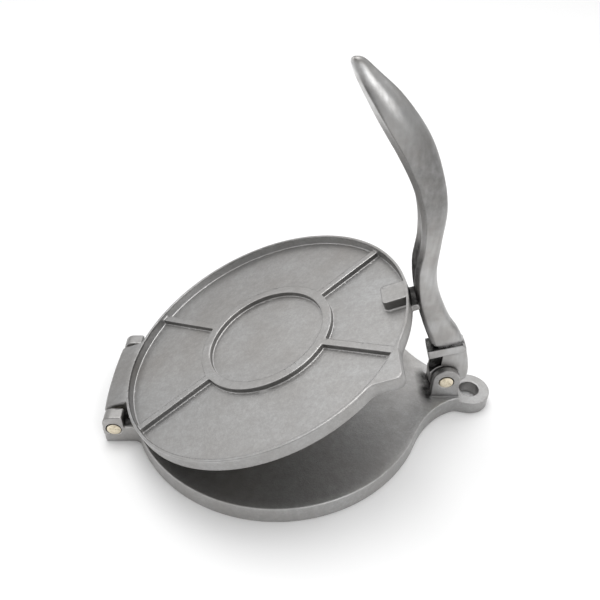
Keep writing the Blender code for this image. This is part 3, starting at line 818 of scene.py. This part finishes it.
class Finish:
    """A material under construction, with short calls for its nodes."""

    def __init__(self, name, metallic):
        self.material = bpy.data.materials.new(name)
        self.material.use_nodes = True
        self.tree = self.material.node_tree
        self.shader = self.tree.nodes["Principled BSDF"]
        self.shader.inputs["Metallic"].default_value = metallic
        self.object_space = self.tree.nodes.new("ShaderNodeTexCoord").outputs["Object"]

    def link(self, value, socket):
        """Feed a socket from another socket, or set its value."""
        if isinstance(value, bpy.types.NodeSocket):
            self.tree.links.new(value, socket)
        else:
            socket.default_value = value

    def noise(self, scale, detail=3.0, stretch=(1.0, 1.0, 1.0), roughness=0.55):
        """Noise with about scale features per metre, from 0 to 1."""
        mapping = self.tree.nodes.new("ShaderNodeMapping")
        mapping.inputs["Scale"].default_value = stretch
        self.link(self.object_space, mapping.inputs["Vector"])
        node = self.tree.nodes.new("ShaderNodeTexNoise")
        self.link(mapping.outputs["Vector"], node.inputs["Vector"])
        node.inputs["Scale"].default_value = scale
        node.inputs["Detail"].default_value = detail
        node.inputs["Roughness"].default_value = roughness
        return node.outputs["Fac"]

    def attribute(self, name):
        """A value stored on the mesh's points."""
        node = self.tree.nodes.new("ShaderNodeAttribute")
        node.attribute_name = name
        return node.outputs["Fac"]

    def spread(self, value, low, high, out_low, out_high):
        """Map a value's stretch from low to high onto another stretch, clamped."""
        node = self.tree.nodes.new("ShaderNodeMapRange")
        self.link(value, node.inputs["Value"])
        node.inputs["From Min"].default_value = low
        node.inputs["From Max"].default_value = high
        node.inputs["To Min"].default_value = out_low
        node.inputs["To Max"].default_value = out_high
        return node.outputs["Result"]

    def math(self, operation, a, b):
        """One sum or product of two values."""
        node = self.tree.nodes.new("ShaderNodeMath")
        node.operation = operation
        self.link(a, node.inputs[0])
        self.link(b, node.inputs[1])
        return node.outputs[0]

    def mix(self, share, a, b):
        """Colour a at share 0 and colour b at share 1."""
        node = self.tree.nodes.new("ShaderNodeMix")
        node.data_type = "RGBA"
        self.link(share, node.inputs["Factor"])
        self.link(a, node.inputs["A"])
        self.link(b, node.inputs["B"])
        return node.outputs["Result"]

    def bump(self, height, distance, strength, below=None):
        """A normal bent by a height, on top of the normal below."""
        node = self.tree.nodes.new("ShaderNodeBump")
        self.link(height, node.inputs["Height"])
        node.inputs["Distance"].default_value = distance
        node.inputs["Strength"].default_value = strength
        if below is not None:
            self.link(below, node.inputs["Normal"])
        return node.outputs["Normal"]

    def lit_and_worn(self, colour):
        """Paint the mesh's stored shade and highlights onto a colour, with ragged borders."""
        ragged = self.math("ADD", self.noise(260.0, 3.0), 0.5)
        painted_light_and_wear = self.math("MULTIPLY", self.attribute("painted_light_and_wear"), ragged)
        # Painted shade, down to black.
        colour = self.mix(self.spread(painted_light_and_wear, 0.0, -1.0, 0.0, 1.0), colour, grey(0.03, 0.03))
        # Painted highlight, up to bare metal.
        return self.mix(self.spread(painted_light_and_wear, 0.0, 1.0, 0.0, 1.0), colour, grey(0.8))

    def finish(self, colour, roughness, normal):
        """Connect the shader and give the material."""
        self.link(colour, self.shader.inputs["Base Color"])
        self.link(roughness, self.shader.inputs["Roughness"])
        self.link(normal, self.shader.inputs["Normal"])
        return self.material


def grey(level, warmth=0.0):
    """A grey with a slight warm (above 0) or cool (below 0) cast, linear RGB."""
    return (level * (1.0 + warmth), level, level * (1.0 - warmth), 1.0)


def cast_aluminium():
    """Tumbled sand-cast aluminium: fine grain, small pits, faint stains, rubbed edges.

    The rubbed edges and the fillets carry painted highlights; the mesh's attribute paints
    shade and light.
    """
    cast = Finish("cast_aluminium", 1.0)
    stains = cast.noise(28.0, 4.0)
    patches = cast.noise(11.0, 2.0)
    grain = cast.noise(1300.0, 3.0)
    pits = cast.noise(620.0, 2.0)
    stained = cast.spread(stains, 0.35, 0.68, 0.0, 1.0)
    colour = cast.mix(stained, grey(0.365, 0.035), grey(0.46, 0.005))
    colour = cast.mix(cast.spread(patches, 0.45, 0.7, 0.0, 0.35), colour, grey(0.41, -0.02))
    colour = cast.mix(cast.spread(grain, 0.36, 0.62, 0.28, 0.0), colour, grey(0.25, 0.02))
    colour = cast.mix(cast.spread(pits, 0.66, 0.76, 0.0, 0.35), colour, grey(0.2, 0.04))
    clouds = cast.noise(230.0, 4.0)
    colour = cast.mix(cast.spread(clouds, 0.38, 0.62, 0.3, 0.0), colour, grey(0.27, 0.03))
    mottle = cast.noise(520.0, 3.0)
    colour = cast.mix(cast.spread(mottle, 0.4, 0.62, 0.3, 0.0), colour, grey(0.28, 0.02))
    # Convex edges lighter: rubbed bare metal, and a painted highlight.
    lit_and_worn = cast.spread(cast.attribute("edge"), 0.25, 1.1, 0.0, 1.0)
    broken = cast.spread(cast.noise(160.0, 3.0), 0.35, 0.6, 0.35, 1.0)
    lit_and_worn = cast.math("MULTIPLY", lit_and_worn, broken)
    colour = cast.mix(lit_and_worn, colour, grey(0.52, 0.015))
    # Painted highlight in the fillets at the feet of walls.
    fillet_highlight = cast.spread(cast.attribute("edge"), -0.3, -1.1, 0.0, 0.8)
    colour = cast.mix(fillet_highlight, colour, grey(0.66, 0.01))
    # The painted shade and light stored on the mesh.
    colour = cast.lit_and_worn(colour)
    roughness = cast.spread(stains, 0.3, 0.7, 0.5, 0.4)
    roughness = cast.math("SUBTRACT", roughness, cast.math("MULTIPLY", lit_and_worn, 0.14))
    normal = cast.bump(grain, 0.00022, 0.35)
    normal = cast.bump(pits, 0.0005, 0.18, normal)
    return cast.finish(colour, roughness, normal)


def polished_aluminium():
    """The lever's casting, ground along its length and polished by hands."""
    lever = Finish("polished_aluminium", 1.0)
    streaks = lever.noise(420.0, 3.0, (1.0, 1.0, 0.12))
    mottle = lever.noise(70.0, 4.0)
    grain = lever.noise(1500.0, 2.0)
    mottled = lever.spread(mottle, 0.36, 0.66, 0.0, 1.0)
    colour = lever.mix(mottled, grey(0.37, 0.03), grey(0.47, 0.005))
    colour = lever.mix(lever.spread(streaks, 0.4, 0.62, 0.22, 0.0), colour, grey(0.29, 0.02))
    # Convex edges lighter: rubbed bare metal, and a painted highlight.
    lit_and_worn = lever.spread(lever.attribute("edge"), 0.25, 1.0, 0.0, 0.6)
    colour = lever.mix(lit_and_worn, colour, grey(0.56, 0.01))
    # The painted shade and light stored on the mesh, and the grip's tarnish.
    colour = lever.lit_and_worn(colour)
    roughness = lever.spread(mottle, 0.3, 0.7, 0.42, 0.31)
    roughness = lever.math("ADD", roughness, lever.spread(streaks, 0.35, 0.65, 0.05, 0.0))
    normal = lever.bump(streaks, 0.0002, 0.18)
    normal = lever.bump(grain, 0.00015, 0.22, normal)
    return lever.finish(colour, roughness, normal)


def pin_steel():
    """Cut and lightly rusted rod ends with a warm, dull face."""
    steel = Finish("pin_steel", 0.85)
    blotches = steel.noise(420.0, 3.0)
    clean = (0.86, 0.78, 0.62, 1.0)
    stained = (0.55, 0.48, 0.34, 1.0)
    colour = steel.mix(steel.spread(blotches, 0.45, 0.7, 0.0, 1.0), clean, stained)
    roughness = steel.spread(blotches, 0.3, 0.7, 0.42, 0.6)
    return steel.finish(colour, roughness, steel.bump(blotches, 0.0002, 0.3))


# ---------------------------------------------------------------- stage

def add_camera():
    """The photographer's view of the press."""
    data = bpy.data.cameras.new("camera")
    data.lens = LENS
    data.sensor_width = SENSOR
    data.clip_start = 0.01
    data.clip_end = 50.0
    camera = bpy.data.objects.new("camera", data)
    bpy.context.scene.collection.objects.link(camera)
    turn = Matrix.Rotation(math.radians(CAMERA_AZIMUTH), 4, "Z")
    tilt = Matrix.Rotation(math.radians(90.0 - CAMERA_ELEVATION), 4, "X")
    roll = Matrix.Rotation(math.radians(CAMERA_ROLL), 4, "Z")
    centre = (Vector(CAMERA_PLACE) + Vector((ORIGIN_X, 0.0, 0.0))) * MM
    camera.matrix_world = Matrix.Translation(centre) @ turn @ tilt @ roll
    bpy.context.scene.camera = camera


def area_light(name, place_m, aim_m, size, power):
    """A round soft light, aimed at a point and hidden from the camera."""
    data = bpy.data.lights.new(name, "AREA")
    data.shape = "DISK"
    data.size = size
    data.energy = power
    light = bpy.data.objects.new(name, data)
    bpy.context.scene.collection.objects.link(light)
    direction = Vector(aim_m) - Vector(place_m)
    turn = direction.to_track_quat("-Z", "Y").to_matrix().to_4x4()
    light.matrix_world = Matrix.Translation(place_m) @ turn
    light.visible_camera = False


def add_stage():
    """A plain pale floor, the room and two lights."""
    shape = bmesh.new()
    bmesh.ops.create_circle(shape, cap_ends=True, segments=64, radius=FLOOR_RADIUS)
    mesh = bpy.data.meshes.new("floor")
    shape.to_mesh(mesh)
    shape.free()
    floor = bpy.data.objects.new("floor", mesh)
    bpy.context.scene.collection.objects.link(floor)
    paint = bpy.data.materials.new("floor_paint")
    paint.use_nodes = True
    shader = paint.node_tree.nodes["Principled BSDF"]
    shader.inputs["Base Color"].default_value = (0.93, 0.93, 0.93, 1.0)
    shader.inputs["Roughness"].default_value = 0.9
    mesh.materials.append(paint)
    floor.location.z = -FLOOR_DROP
    add_sky()
    area_light("top_box", *TOP_BOX)
    area_light("key", *KEY)


def add_sky():
    """A pale room: brighter at the back, darker above the camera's side."""
    world = bpy.data.worlds.new("studio")
    bpy.context.scene.world = world
    world.use_nodes = True
    nodes, links = world.node_tree.nodes, world.node_tree.links
    direction = nodes.new("ShaderNodeTexCoord").outputs["Generated"]
    parts = nodes.new("ShaderNodeSeparateXYZ")
    links.new(direction, parts.inputs[0])
    back = nodes.new("ShaderNodeMapRange")
    back.interpolation_type = "SMOOTHSTEP"
    back.inputs["From Min"].default_value = -0.6
    back.inputs["From Max"].default_value = 0.6
    back.inputs["To Min"].default_value = SKY_FRONT
    back.inputs["To Max"].default_value = SKY_BACK
    links.new(parts.outputs["Y"], back.inputs["Value"])
    height = nodes.new("ShaderNodeMapRange")
    height.interpolation_type = "SMOOTHSTEP"
    height.inputs["From Min"].default_value = 0.1
    height.inputs["From Max"].default_value = 0.65
    links.new(parts.outputs["Z"], height.inputs["Value"])
    blend = nodes.new("ShaderNodeMix")
    blend.data_type = "FLOAT"
    blend.inputs["A"].default_value = SKY_HORIZON
    links.new(height.outputs["Result"], blend.inputs["Factor"])
    links.new(back.outputs["Result"], blend.inputs["B"])
    sky = nodes["Background"]
    sky.inputs["Color"].default_value = (1.0, 1.0, 1.0, 1.0)
    links.new(blend.outputs["Result"], sky.inputs["Strength"])


def main():
    """Build the castings and pins, and set the stage."""
    base, lid, handle = build_castings()
    pins = build_pins()
    plate = cast_aluminium()
    lever = polished_aluminium()
    steel = pin_steel()
    for piece in (base, lid):
        piece.data.materials.append(plate)
    handle.data.materials.append(lever)
    for pin in pins:
        pin.data.materials.append(steel)
    add_camera()
    add_stage()
    bpy.context.scene.view_settings.view_transform = "Standard"


main()
